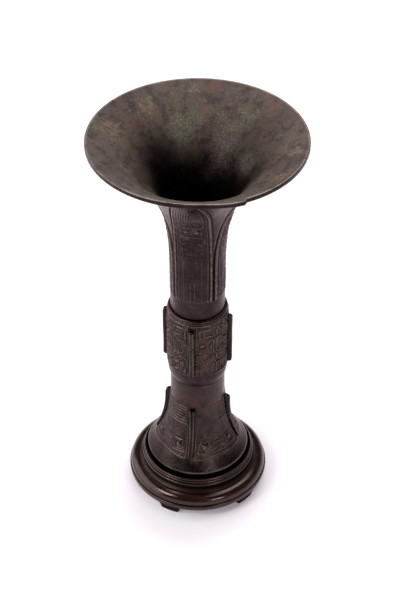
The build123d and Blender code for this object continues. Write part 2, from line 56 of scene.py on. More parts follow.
NECK_LOW, NECK_HIGH = box_mm("neck_section")
KNOP_LOW, KNOP_HIGH = box_mm("knop_section")
FOOT_LOW, FOOT_HIGH = box_mm("foot_section")
DISC_LOW, DISC_HIGH = box_mm("vessel_floor")
KNOP_FLANGE_LOW, KNOP_FLANGE_HIGH = box_mm("knop_flange_2")
FOOT_FLANGE_LOW, FOOT_FLANGE_HIGH = box_mm("foot_flange_2")
BASE_LOW, BASE_HIGH = box_mm("stand_base")
COLLAR_LOW, COLLAR_HIGH = box_mm("stand_collar")

# Four panels of ornament, each mirrored about a flange, the first towards -Y
PANEL_COUNT = 4
PANEL_TURN = -90.0
PANEL_ANGLE = 360.0 / PANEL_COUNT

# Castings; a flare is its narrow end, its wide end and its curve's power
WALL = 2.4
SPIGOT_RADIUS = DISC_HIGH.x
NECK_RADIUS = 18.4
NECK_BORE = NECK_RADIUS - WALL
NECK_SHOULDER = KNOP_HIGH.z - 3.0
LIP_HEIGHT = 2.33
LIP_FACE = 3.2
LIP_ROUND = 0.6
LIP_BEVEL = 0.35
LIP_EDGE = 0.4
LINING_EDGE = 288.9
LINING_BEND = 265.0
TUBE_RADIUS = 18.9
TUBE_BORE = TUBE_RADIUS - WALL
FOOT_EDGE_TOP = FOOT_LOW.z + 7.8
FOOT_EDGE_BOTTOM = FOOT_LOW.z + 6.4
FOOT_RING_TOP = FOOT_LOW.z + 5.2
FOOT_RING_RADIUS = 33.6
FOOT_RING_BORE = 30.6
SOLE_BEVEL = 0.3
NECK_FLARE = ((NECK_RADIUS, KNOP_HIGH.z + 19.4), (NECK_HIGH.x, NECK_HIGH.z - LIP_HEIGHT), 3.88)
FOOT_FLARE = ((TUBE_RADIUS, KNOP_LOW.z - 2.5), (FOOT_HIGH.x, FOOT_EDGE_TOP), 3.5)
KNOP_RADIUS = 20.4
KNOP_END_RADIUS = 19.2
KNOP_SHOULDER_ROUND = 0.6
KNOP_LIP_GROOVE = 18.55
KNOP_LIP_BEAD = 1.5
KNOP_BORE = SPIGOT_RADIUS + 0.05
KNOP_FIELD_BOTTOM = KNOP_FLANGE_LOW.z
KNOP_FIELD_TOP = KNOP_FIELD_BOTTOM + 43.0
KNOP_BORDER_HEIGHT = 1.4

# Leaf panels of the neck
LEAF_BOTTOM = KNOP_HIGH.z + 14.4
LEAF_SHOULDER = LEAF_BOTTOM + 72.0
LEAF_POINT = 35.0
LEAF_HALF_WIDTH = 12.15

# How far the ornament stands out, how its lines are drawn and how far they stray
LEAF_RELIEF = 0.7
KNOP_RELIEF = 1.0
FOOT_RELIEF = 0.65
LEAF_CONTRAST = 0.75
LEAF_TIP_CONTRAST = 0.35
KNOP_CONTRAST = 1.05
FOOT_CONTRAST = 0.55
CONTRAST_REACH = 5
LINE_SOFTNESS = 0.18
LINE_MARGIN = 0.4
LEAF_STRAY = 0.14
MASK_STRAY = 0.16

# Painted shade and highlight on the bronze, painted light in the cup, paler parts, and where it is rubbed
# Painted shade low on the neck above the knop, and on the foot's band near its edge
NECK_BASE_SHADE = 0.16
FOOT_BAND_SHADE = 0.27
# Painted highlight along the lip
LIP_HIGHLIGHT = 0.8
# How much paler the knop and foot are made
KNOP_PALING = 0.03
FOOT_PALING = 0.04
FOOT_WORN_TURN = -60.0
# Painted light on one side of the cup's lining, and the turn it is brightest towards
LINING_PAINTED_LIGHT = 0.2
LINING_LIT_TURN = -120.0

# The dent in the lip, which ends in a crack
DENT_START = -78.0
DENT_END = -55.6
DENT_DEPTH = 1.6
DENT_REACH = 22.0

# Columns of mesh round each casting. A band of the lining is its first and last ring, how many times
# fewer columns it has, and its share of the painted light
LINING_BANDS = ((1, 9, 1, 1.0), (9, 18, 2, 1.0), (18, 24, 2, 0.5), (24, None, 4, 0.0))
NECK_COLUMNS = 368
KNOP_COLUMNS = 480
FOOT_COLUMNS = 512
WOOD_COLUMNS = 240

# What each mesh point carries beside its place, as it is on a plain outer face
PLAIN = {"relief": 0.5, "inside": 0.0, "wear": 0.0}
RELIEF_COLUMN = 3
INSIDE_COLUMN = 4
POINT_COLUMNS = 3 + len(PLAIN)

# Stains of the bronze, and painted shade deep in the cup, from a height that drops by so much at each turn
STAINS_AND_SHADE = ("deep", "earth", "rust", "green")
DEEP_FROM = 284.0
DEEP_TO = 255.0
DEEP_END = 232.0
DEEP_DIM = 0.86
DEEP_POWER = 0.75
GREEN_SHOWS = 0.5
SEAM_RUST = 0.8
DEEP_DROP_TURNS = (-180, -150, -120, -60, -30, 0, 45, 75, 100, 125, 145, 165, 180)
DEEP_DROPS = (12, 24, 28, 28, 22, 4, -7, -4, 7, 5, -2, 3, 12)
# Patches of stain by turn, height and reach, inside the cup and on the outer face
PATCH_EDGE = 1.5
PATCH_CORE = 0.3
INSIDE_STAINS = {
    "earth": [(135, 284, 7), (172, 284, 14), (-158, 275, 8), (-147, 273, 6), (3, 286, 7), (-22, 286, 8)],
    "rust": [(95, 278, 7), (49, 287, 9), (46, 276, 9), (91, 288, 9), (152, 280, 10), (168, 276, 7)],
    "green": [(112, 272, 13), (105, 275, 10), (76, 275, 12), (31, 263, 9), (103, 287, 5), (62, 280, 9)],
}
OUTSIDE_STAINS = {
    "earth": [
        (-103, 229, 4), (-81, 247, 4), (-83, 237, 2.5), (-100, 258, 6), (-70, 150, 3), (-106, 151, 3),
        (-57, 122, 5), (-77, 113, 4), (-108, 42, 5), (-68, 43, 7), (-83, 38, 4), (-40, 42, 5), (-4, 58, 6),
    ],
    "rust": [(-96, 86, 8), (-40, 78, 9), (-75, 140, 6), (-70, 128, 9), (-58, 118, 7)],
}


def smooth_step(value, start, end):
    """0 before start and 1 after end, with a smooth rise between them."""
    share = np.clip((value - start) / (end - start), 0.0, 1.0)
    return share * share * (3.0 - 2.0 * share)


def covered(distance, half_width):
    """1 inside a line's half width, falling softly to 0 just outside it."""
    return smooth_step(distance, half_width + LINE_SOFTNESS, half_width - LINE_SOFTNESS)


def between(value, low, high):
    """1 from low to high, falling softly to 0 outside."""
    return covered(np.abs(value - (low + high) / 2), (high - low) / 2)


def spiral_points(low, high, pitch):
    """Corners of a square spiral that winds inwards from its lowest corner."""
    left, bottom = low
    right, top = high
    points = [(left, bottom)]
    while right - left > pitch / 2 and top - bottom > pitch / 2:
        points += [(right, bottom), (right, top), (left, top)]
        bottom += pitch
        right -= pitch
        top -= pitch
        points.append((left, bottom))
        left += pitch
    return points


def wander(turn, height, size, seed):
    """Smooth seeded unevenness between about -1 and 1, in bumps of that size, closed round the axis."""
    draw = np.random.default_rng(seed)
    waves = 14
    total = np.zeros(np.broadcast(turn, height).shape)
    for _ in range(waves):
        rounds = np.round(draw.normal() * KNOP_RADIUS / size)
        rise = draw.normal() / size
        total += np.cos(rounds * turn + rise * height + draw.uniform(0.0, 2.0 * pi))
    return total / sqrt(waves)


class Relief:
    """A sheet of raised ornament: how high each place stands, from 0 to about 1."""

    def __init__(self, across, up):
        self.across, self.up = np.broadcast_arrays(across, up)
        self.level = np.zeros(self.across.shape)

    def lift(self, share, level=1.0):
        """Raises the covered places to that level."""
        self.level = np.maximum(self.level, level * share)

    def sink(self, share):
        """Clears the covered places."""
        self.level = self.level * (1.0 - share)

    def distance(self, points):
        """How far each place is from a line through the points."""
        nearest = np.full(self.across.shape, np.inf)
        for (x0, z0), (x1, z1) in zip(points, points[1:]):
            run, rise = x1 - x0, z1 - z0
            along = (self.across - x0) * run + (self.up - z0) * rise
            share = np.clip(along / (run * run + rise * rise), 0.0, 1.0)
            off = np.hypot(self.across - x0 - share * run, self.up - z0 - share * rise)
            nearest = np.minimum(nearest, off)
        return nearest

    def line(self, points, width, level=1.0, margin=0.0):
        """A raised line, with a sunk margin to either side."""
        distance = self.distance(points)
        if margin:
            self.sink(covered(distance, width / 2 + margin))
        self.lift(covered(distance, width / 2), level)

    def ribbon(self, points, width, level=1.0):
        """A broad raised line with a thin groove along its middle."""
        distance = self.distance(points)
        self.sink(covered(distance, width / 2 + LINE_MARGIN))
        self.lift(covered(distance, width / 2) - 0.7 * covered(distance, width * 0.1), level)

    def loop(self, centre, half, corner, width, level=1.0, margin=LINE_MARGIN):
        """A raised line round a rectangle with rounded corners."""
        x = np.abs(self.across - centre[0]) - half[0] + corner
        z = np.abs(self.up - centre[1]) - half[1] + corner
        outside = np.hypot(np.maximum(x, 0.0), np.maximum(z, 0.0))
        distance = np.abs(outside + np.minimum(np.maximum(x, z), 0.0) - corner)
        self.sink(covered(distance, width / 2 + margin))
        self.lift(covered(distance, width / 2), level)

    def boss(self, centre, radii, level=1.0, margin=0.0):
        """A round-topped boss."""
        away = np.hypot((self.across - centre[0]) / radii[0], (self.up - centre[1]) / radii[1])
        if margin:
            self.sink(covered((away - 1.0) * radii[1], margin))
        self.lift(np.sqrt(np.clip(1.0 - away**2, 0.0, 1.0)), level)

    def ground(self, cell, pitch, width, level, where):
        """Small squared spirals all over, turned about from cell to cell."""
        column = np.floor(self.across / cell[0])
        row = np.floor(self.up / cell[1])
        across = self.across - column * cell[0]
        up = self.up - row * cell[1]
        across = np.where(row % 2, cell[0] - across, across)
        up = np.where(column % 2, cell[1] - up, up)
        tile = Relief(across, up)
        edge = pitch / 2
        tile.line(spiral_points((edge, edge), (cell[0] - edge, cell[1] - edge), pitch), width)
        self.lift(tile.level * where, level)


# Each panel is drawn across from its middle and up from its lower edge. A line takes its points, width,
# level and margin, a loop its centre, half size, corner and width, and a boss its centre, radii and level.


def panel_angles(turn):
    """Angle of each column from the middle of its panel, in radians."""
    panel = radians(PANEL_ANGLE)
    return (turn - radians(PANEL_TURN) + panel / 2) % panel - panel / 2


def neck_relief(radius, height, turn):
    """Leaf panels that point up to the mouth, each with a mask over hanging bars."""
    angle = panel_angles(turn)[None, :]
    across = np.abs(radius[:, None] * np.sin(angle))
    up = height[:, None] - LEAF_BOTTOM
    across = across + LEAF_STRAY * wander(turn[None, :], up, size=9.0, seed=3)
    side = LEAF_SHOULDER - LEAF_BOTTOM
    curve = (LEAF_HALF_WIDTH**2 + LEAF_POINT**2) / (2 * LEAF_HALF_WIDTH)
    above = np.clip(up - side, 0.0, curve)
    half_width = LEAF_HALF_WIDTH - curve + np.sqrt(curve**2 - above**2)
    depth = (half_width - across) * np.sqrt(1.0 - (above / curve) ** 2)
    tip = smooth_step(up, side - 5.0, side + 3.0)

    leaf = Relief(across, up)
    leaf.ground((3.0, 3.2), 1.0, 0.5, 0.5, 1.0 - tip)
    leaf.line([(0.0, 19.0), (0.0, side + 16.0)], 0.6, 0.55, 0.25)
    for rung in range(6):
        leaf.line([(2.2, 1.0 + 1.6 * rung), (6.0, 1.0 + 1.6 * rung)], 0.65, 0.55, 0.4)
    leaf.line([(1.35, 0.8), (1.35, 17.0), (0.0, 17.0)], 0.7, 0.7, 0.35)
    leaf.loop((7.4, 19.4), (1.35, 18.2), 1.3, 0.7, 0.55)
    leaf.line([(7.4, 3.0), (7.4, 34.0)], 0.5, 0.45, 0.25)
    leaf.ribbon([(1.5, 41.5), (5.4, 41.5), (6.6, 43.0), (6.6, 46.0), (3.0, 46.0)], 1.2, 0.7)
    leaf.ribbon([(1.5, 56.5), (6.0, 56.5), (7.9, 54.6), (7.9, 51.0), (5.8, 49.8), (4.4, 50.8)], 1.2)
    leaf.loop((3.6, 61.6), (2.8, 2.3), 1.6, 0.5)
    leaf.boss((3.5, 61.6), (1.8, 1.4), 1.4)
    leaf.ribbon([(1.5, 66.0), (7.0, 66.0), (7.8, 67.4), (7.8, 72.0), (6.4, 73.4), (3.2, 73.4)], 1.2)
    leaf.line([(3.2, 73.4), (2.6, 72.2), (2.6, 69.4), (5.4, 69.4)], 0.7, 0.9, 0.3)
    leaf.level = leaf.level * (1.0 - tip)
    for place in np.arange(4.0, 12.0, 1.5):
        leaf.lift(between(depth, place, place + 0.7) * tip)
    leaf.level = leaf.level * smooth_step(depth, 3.1, 3.4)
    leaf.lift(between(depth, 2.2, 2.8), 0.8)
    leaf.lift(between(depth, 0.0, 1.3))
    leaf.lift(smooth_step(depth, -0.2, 0.35), 0.16)
    # The groove beside the leaf's edge is deeper, and so tinted darker, on one side, as painted shade
    shaded_side = 0.25 + 0.75 * smooth_step(angle, 0.05, -0.05)
    leaf.level = leaf.level - 1.9 * between(depth, -1.2, -0.2) * shaded_side
    return leaf.level * smooth_step(up, -0.3, 0.1)


def knop_relief(height, turn):
    """Half masks to either side of each flange, over squared spirals."""
    across = np.abs(KNOP_RADIUS * panel_angles(turn))[None, :]
    up = height[:, None] - KNOP_FIELD_BOTTOM
    across = across + MASK_STRAY * wander(turn[None, :], up, size=7.0, seed=11)
    mask = Relief(across, up)
    mask.ground((3.0, 3.3), 1.05, 0.55, 0.8, 1.0)
    mask.line([(2.9, 0.6), (2.9, 42.4)], 0.65, 0.9, 0.35)
    for low, high in (((4.3, 1.5), (8.5, 9.0)), ((10.0, 1.5), (15.0, 9.0))):
        mask.line(spiral_points(low, high, 1.35), 0.7, 0.95, 0.35)
    mask.ribbon([(3.4, 17.6), (11.0, 17.6), (14.4, 16.2), (15.0, 13.0), (13.2, 11.4), (11.2, 12.2)], 1.6)
    mask.line([(4.2, 14.9), (9.4, 14.9), (10.4, 13.2)], 0.7, 0.9, 0.35)
    mask.line([(6.4, 14.4), (7.0, 11.6), (5.4, 10.8)], 0.8, 0.9, 0.3)
    mask.line([(4.2, 20.4), (5.6, 19.8), (6.6, 20.8), (5.8, 22.0)], 0.8, 0.9, 0.3)
    mask.loop((6.6, 26.4), (3.5, 2.9), 2.3, 0.7)
    mask.boss((6.6, 26.4), (2.1, 1.7), 1.5, 0.4)
    mask.loop((13.0, 25.0), (1.75, 6.4), 1.7, 0.8)
    mask.line([(13.0, 20.4), (13.0, 29.6)], 0.7, 0.9)
    mask.line([(10.6, 20.2), (10.6, 30.4)], 0.6, 0.9, 0.3)
    horn = [(4.9, 31.0), (4.9, 38.4), (6.2, 40.0), (12.6, 40.0), (14.4, 38.6), (14.4, 34.8), (13.0, 33.6)]
    mask.ribbon(horn + [(9.2, 33.6), (7.9, 34.8), (7.9, 36.6), (11.2, 36.6)], 1.5)
    mask.boss((8.0, 37.4), (1.1, 0.9), 1.35)
    return mask.level * between(mask.up, 0.3, KNOP_FIELD_TOP - KNOP_FIELD_BOTTOM - 0.3)


def foot_relief(radius, height, turn):
    """Half masks to either side of each flange, under a stack of level bars."""
    angle = panel_angles(turn)[None, :]
    across = np.abs(radius[:, None] * angle)
    up = height[:, None] - FOOT_FLANGE_LOW.z
    across = across + MASK_STRAY * wander(turn[None, :], up, size=8.0, seed=23)
    mask = Relief(across, up)
    border = -1.2 + 0.11 * np.clip(across - 6.0, 0.0, None)
    top = FOOT_FLANGE_HIGH.z - FOOT_FLANGE_LOW.z
    mask.ground((3.1, 3.3), 1.05, 0.55, 0.4, smooth_step(mask.up, border, border + 1.2))
    mask.line([(3.0, top + 1.6), (3.0, 0.6), (4.0, -1.0)], 0.65, 0.9, 0.35)
    mask.lift(between(mask.up - border, -0.5, 0.5) * smooth_step(across, 3.4, 4.2), 0.6)
    for bar in range(7):
        level = top + 0.6 - 2.4 * bar
        mask.line([(4.2, level), (17.0, level)], 1.1, 1.0, 0.6)
    curve = [(4.6, 10.6), (6.8, 12.8), (10.0, 13.6), (13.2, 12.6), (15.6, 10.4)]
    for arch in (0.0, 2.0, 4.0):
        mask.line([(x, z + arch) for x, z in curve], 0.7, 0.5, 0.35)
    mask.line([(5.2, 2.6), (6.6, 10.4), (12.4, 10.4), (14.0, 2.6), (5.2, 2.6)], 0.7, 0.95, 0.35)
    mask.loop((9.6, 6.6), (3.0, 2.7), 2.4, 0.5, 0.85, 0.3)
    mask.boss((9.6, 6.6), (2.2, 1.9), 1.5, 0.4)
    for dot in range(6):
        mask.boss((15.8 + 1.8 * dot, 4.2 + 0.3 * dot), (0.7, 0.7), 1.1, 0.3)
    mask.ribbon([(16.4, 8.0), (19.2, 8.6), (21.4, 11.0), (20.4, 14.0), (17.4, 14.2)], 1.2)
    beside = np.cos(turn - radians(FOOT_WORN_TURN))[None, :]
    worn_side = 1.0 - 0.8 * smooth_step(beside, 0.85, 0.93) * smooth_step(up, 13.0, 19.0)
    return mask.level * between(mask.up, -2.6, top + 2.4) * worn_side


def rubbed(level, turn, heights, seed, broken):
    """Ornament worn low, and broken here and there by that share."""
    broad = wander(turn, heights[:, None], size=12.0, seed=seed)
    near = wander(turn, heights[:, None], size=1.6, seed=seed + 1)
    gone = broken * smooth_step(near + 0.4 * broad, 0.0, -1.6)
    return level * (0.88 + 0.12 * broad) * (1.0 - gone)


def softened(level):
    """Level averaged over a few mesh steps each way."""
    reach = CONTRAST_REACH
    count = 2 * reach + 1
    padded = np.pad(level, ((reach, reach), (0, 0)), mode="edge")
    rows = sum(padded[step : step + len(level)] for step in range(count)) / count
    return sum(np.roll(rows, step, axis=1) for step in range(-reach, reach + 1)) / count


def flare_line(wall, heights, depth=0.0):
    """Points (radius, height) on a flaring wall, or that deep under its outer face."""
    (start_radius, start_height), (end_radius, end_height), power = wall
    run = end_radius - start_radius
    rise = end_height - start_height
    share = np.clip((heights - start_height) / rise, 0.0, None)
    slope = run / rise * power * share ** (power - 1)
    length = np.sqrt(1.0 + slope**2)
    radii = start_radius + run * share**power
    return np.stack([radii - depth / length, heights + depth * slope / length], 1)


def zones(start, *spans):
    """Heights from the start on; each span is a count of even steps and the height where it ends."""
    parts = []
    for count, end in spans:
        parts.append(np.linspace(start, end, count, endpoint=False))
        start = end
    return np.concatenate(parts + [[start]])


def outward(profile):
    """Unit normals of a profile that runs upwards with its face outside."""
    slope = np.gradient(profile, axis=0)
    normal = np.stack([slope[:, 1], -slope[:, 0]], 1)
    return normal / np.linalg.norm(normal, axis=1, keepdims=True)


def turns(count):
    """Evenly spaced angles round the axis in radians, from the first panel's middle."""
    return radians(PANEL_TURN) + 2.0 * pi / count * np.arange(count)


def ring(count, radius, height, **tints):
    """One ring of mesh points, each with its tints."""
    turn = turns(count)
    columns = [radius * np.cos(turn), radius * np.sin(turn), height]
    columns += [tints.get(name, plain) for name, plain in PLAIN.items()]
    return np.stack(np.broadcast_arrays(*columns), 1)


def rings(count, profile, **tints):
    return [ring(count, radius, height, **tints) for radius, height in profile]


def pole(height, **tints):
    """The point where a piece closes on the axis."""
    return ring(1, 0.0, height, **tints)


def raised_rings(profile, level, rise, contrast, painted_shade=0.0, wear=0.0):
    """Rings along an outer face, lifted by its ornament and tinted by it, by painted shade, and by rubbing
    and painted light.
    """
    normal = outward(profile)
    lifted = rise * level
    radius = profile[:, :1] + lifted * normal[:, :1]
    height = profile[:, 1:] + lifted * normal[:, 1:]
    # Hollows are tinted darker and ridges paler: partly patina and rubbing, partly painted shade and
    # highlight
    relief = np.clip(PLAIN["relief"] + contrast * (level - softened(level)) - painted_shade, 0.0, 1.0)
    rows = zip(radius, height, relief)
    return [ring(level.shape[1], row, up, relief=shade, wear=wear) for row, up, shade in rows]


def wall_radius(height, inside):
    """About the radius of the bronze at that height, or of the cup."""
    if KNOP_LOW.z < height <= KNOP_HIGH.z:
        return KNOP_RADIUS
    wall = NECK_FLARE if height > KNOP_HIGH.z else FOOT_FLARE
    return flare_line(wall, np.array([height]))[0, 0] - 1.3 * WALL * inside


def patch_levels(points, inside):
    """How strongly each point is covered by the patches, by the stain's name."""
    levels = {stain: np.zeros(len(points)) for stain in STAINS_AND_SHADE}
    for side, stains in ((True, INSIDE_STAINS), (False, OUTSIDE_STAINS)):
        for stain, places in stains.items():
            for degrees, height, reach in places:
                turn = radians(degrees)
                radius = wall_radius(height, side)
                centre = (radius * cos(turn), radius * sin(turn), height)
                away = np.linalg.norm(points[:, :3] - centre, axis=1)
                level = smooth_step(away, PATCH_EDGE * reach, PATCH_CORE * reach) * (inside == side)
                levels[stain] = np.maximum(levels[stain], level)
    return levels


def stain_and_shade_levels(points):
    """Patches, the rusty seam over the knop, and painted shade in the cup's depth, where green still
    shows.
    """
    inside = points[:, INSIDE_COLUMN] > 0.5
    height = points[:, 2]
    levels = patch_levels(points, inside)
    seam = smooth_step(np.abs(height - KNOP_HIGH.z), 1.6, 0.6)
    levels["rust"] = np.maximum(levels["rust"], SEAM_RUST * ~inside * seam)
    turn = np.degrees(np.arctan2(points[:, 1], points[:, 0]))
    drop = np.interp(turn, DEEP_DROP_TURNS, DEEP_DROPS)
    # Painted shade in the cup's depth, reaching higher on some turns than on others
    dim = smooth_step(height + drop, DEEP_FROM, DEEP_TO) ** DEEP_POWER
    deep = DEEP_DIM * dim + (1.0 - DEEP_DIM) * smooth_step(height, DEEP_TO, DEEP_END)
    levels["deep"] = inside * deep * (1.0 - GREEN_SHOWS * levels["green"])
    return levels


def bridge(first, count, after, after_count):
    """Faces between one ring and the next, which may have half or twice as many points, or one."""
    if count == after_count == 1:
        return []
    here = first + np.arange(count)
    there = after + np.arange(after_count)
    here_next, there_next = np.roll(here, -1), np.roll(there, -1)
    if after_count == count:
        return np.stack([here, here_next, there_next, there], 1).tolist()
    if after_count == 1:
        return np.stack([here, here_next, np.full(count, after)], 1).tolist()
    if count == 1:
        return np.stack([np.full(after_count, first), there_next, there], 1).tolist()
    if count == 2 * after_count:
        start, middle, end = here[::2], here[1::2], np.roll(here[::2], -1)
        sides = [(start, middle, there), (middle, there_next, there), (middle, end, there_next)]
    else:
        start, middle, end = there[::2], there[1::2], np.roll(there[::2], -1)
        sides = [(here, here_next, middle), (here, middle, start), (here_next, end, middle)]
    return np.concatenate([np.stack(side, 1) for side in sides]).tolist()


def capped(loops):
    """The loops of a bar, closed at both ends on a middle point."""
    ends = [loop.mean(0, keepdims=True) for loop in (loops[0], loops[-1])]
    return [ends[0]] + loops + [ends[1]]


def add_object(name, data):
    made = bpy.data.objects.new(name, data)
    bpy.context.scene.collection.objects.link(made)
    return made


def closed_piece(name, loops, material, body, slot, node):
    """Mesh through rings of points, each joined to the next and the last to the first."""
    starts = np.cumsum([0] + [len(loop) for loop in loops])
    faces = []
    for number, loop in enumerate(loops):
        after = (number + 1) % len(loops)
        faces += bridge(starts[number], len(loop), starts[after], len(loops[after]))
    points = np.concatenate(loops)
    tints = dict(zip(PLAIN, points[:, 3:].T))
    if slot == "bronze":
        tints.update(stain_and_shade_levels(points))
    mesh = bpy.data.meshes.new(name)
    mesh.from_pydata((points[:, :3] * MM).tolist(), [], faces)
    for key, values in tints.items():
        layer = mesh.attributes.new(key, "FLOAT", "POINT")
        layer.data.foreach_set("value", values.astype(np.float32))
    mesh.shade_smooth()
    mesh.materials.append(material)
    piece = add_object(name, mesh)
    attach(piece, body)
    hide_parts(node)


# Materials


def set_inputs(node, inputs):
    """Sets a node's inputs to values, or links them to sockets."""
    for key, value in inputs.items():
        if isinstance(value, bpy.types.NodeSocket):
            node.id_data.links.new(value, node.inputs[key])
        else:
            node.inputs[key].default_value = value


def add_node(owner, kind, inputs=None, **settings):
    """A new node with its settings and inputs, in a node tree or in the tree of a socket."""
    made = owner.id_data.nodes.new("ShaderNode" + kind)
    for key, value in settings.items():
        setattr(made, key, value)
    set_inputs(made, inputs or {})
    return made


def grain(vector, scale, detail, roughness=0.55):
    settings = {"Vector": vector, "Scale": scale, "Detail": detail, "Roughness": roughness}
    return add_node(vector, "TexNoise", settings).outputs["Fac"]


def spread(value, low, high, bottom=0.0, top=1.0):
    """Maps low to high of a value smoothly onto bottom to top."""
    settings = {"Value": value, "From Min": low, "From Max": high, "To Min": bottom, "To Max": top}
    made = add_node(value, "MapRange", settings, interpolation_type="SMOOTHSTEP")
    return made.outputs["Result"]


def maths(operation, first, second):
    return add_node(first, "Math", {0: first, 1: second}, operation=operation).outputs[0]


def product(first, second):
    return maths("MULTIPLY", first, second)


def vector_maths(operation, inputs):
    return add_node(inputs[0], "VectorMath", inputs, operation=operation).outputs[0]


def mixed(share, first, second):
    """Colour that goes from the first to the second as the share goes from 0 to 1."""
    made = add_node(share, "Mix", {0: share, 6: first, 7: second}, data_type="RGBA")
    return made.outputs[2]


def coat(base, colour, value, low, high, share=1.0):
    """Lays a colour over the base as a value goes from low to high, up to that share."""
    return mixed(spread(value, low, high, 0.0, share), base, colour)


def blended(share, first, second):
    """Number that goes from the first to the second as a mixed colour does."""
    return add_node(share, "Mix", {0: share, 2: first, 3: second}, data_type="FLOAT").outputs[0]


def bump(height, strength, distance):
    settings = {"Height": height, "Strength": strength, "Distance": distance}
    return add_node(height, "Bump", settings).outputs["Normal"]


def tint(tree, name):
    return add_node(tree, "Attribute", attribute_name=name).outputs["Fac"]


def new_material(name):
    material = bpy.data.materials.new(name)
    material.use_nodes = True
    tree = material.node_tree
    return material, tree, tree.nodes["Principled BSDF"]


def object_places(tree, scale=(1, 1, 1), shift=(0, 0, 0)):
    place = add_node(tree, "TexCoord").outputs["Object"]
    settings = {"Vector": place, "Scale": scale, "Location": shift}
    return add_node(tree, "Mapping", settings).outputs["Vector"]


def round_axis(places, across, along):
    """Places whose noise runs in streaks up and down a turned or cast round piece."""
    flat = vector_maths("MULTIPLY", {0: places, 1: (1.0, 1.0, 0.0)})
    turned = vector_maths("NORMALIZE", {0: flat})
    scaled = vector_maths("SCALE", {0: turned, "Scale": across})
    rise = vector_maths("MULTIPLY", {0: places, 1: (0.0, 0.0, along)})
    return vector_maths("ADD", {0: scaled, 1: rise})


def patches(places, scale, level, low, high, gain):
    """Ragged patches, few on their own and many where the level is high."""
    ragged = grain(places, scale, 6.0, 0.65)
    raised = maths("ADD", ragged, product(level, gain))
    return spread(raised, low, high)


# Colours of the bronze: its skin, the lining of the cup, and the stains
SKIN_DARK = (0.021, 0.0110, 0.0132, 1)
SKIN_BROWN = (0.037, 0.0218, 0.0235, 1)
SKIN_MOTTLE = (0.056, 0.037, 0.036, 1)
SKIN_OLIVE = (0.040, 0.030, 0.023, 1)
SKIN_PITS = (0.013, 0.008, 0.008, 1)
HOLLOW_BLACK = (0.006, 0.0035, 0.0035, 1)
RIDGE_BROWN = (0.105, 0.075, 0.066, 1)
RIDGE_PALE = (0.230, 0.180, 0.163, 1)
LINING_DARK = (0.072, 0.052, 0.047, 1)
LINING_BROWN = (0.110, 0.082, 0.071, 1)
LINING_OLIVE = (0.104, 0.094, 0.060, 1)
LINING_RED = (0.130, 0.070, 0.054, 1)
LINING_BLOTCH = (0.040, 0.028, 0.026, 1)
LINING_STREAK = (0.036, 0.025, 0.023, 1)
LINING_SPECK = (0.240, 0.185, 0.140, 1)
LINING_PITS = (0.024, 0.017, 0.016, 1)
MOSS_DARK = (0.080, 0.094, 0.054, 1)
MOSS_PALE = (0.225, 0.210, 0.128, 1)
RUST_OUTSIDE = (0.074, 0.029, 0.027, 1)
RUST_INSIDE = (0.138, 0.068, 0.048, 1)
SOIL_OUTSIDE = (0.115, 0.082, 0.046, 1)
SOIL_INSIDE = (0.240, 0.164, 0.100, 1)
WORN_AND_LIT_BRONZE = (0.360, 0.300, 0.265, 1)
DEEP_SHADE_BLACK = (0.0015, 0.001, 0.001, 1)


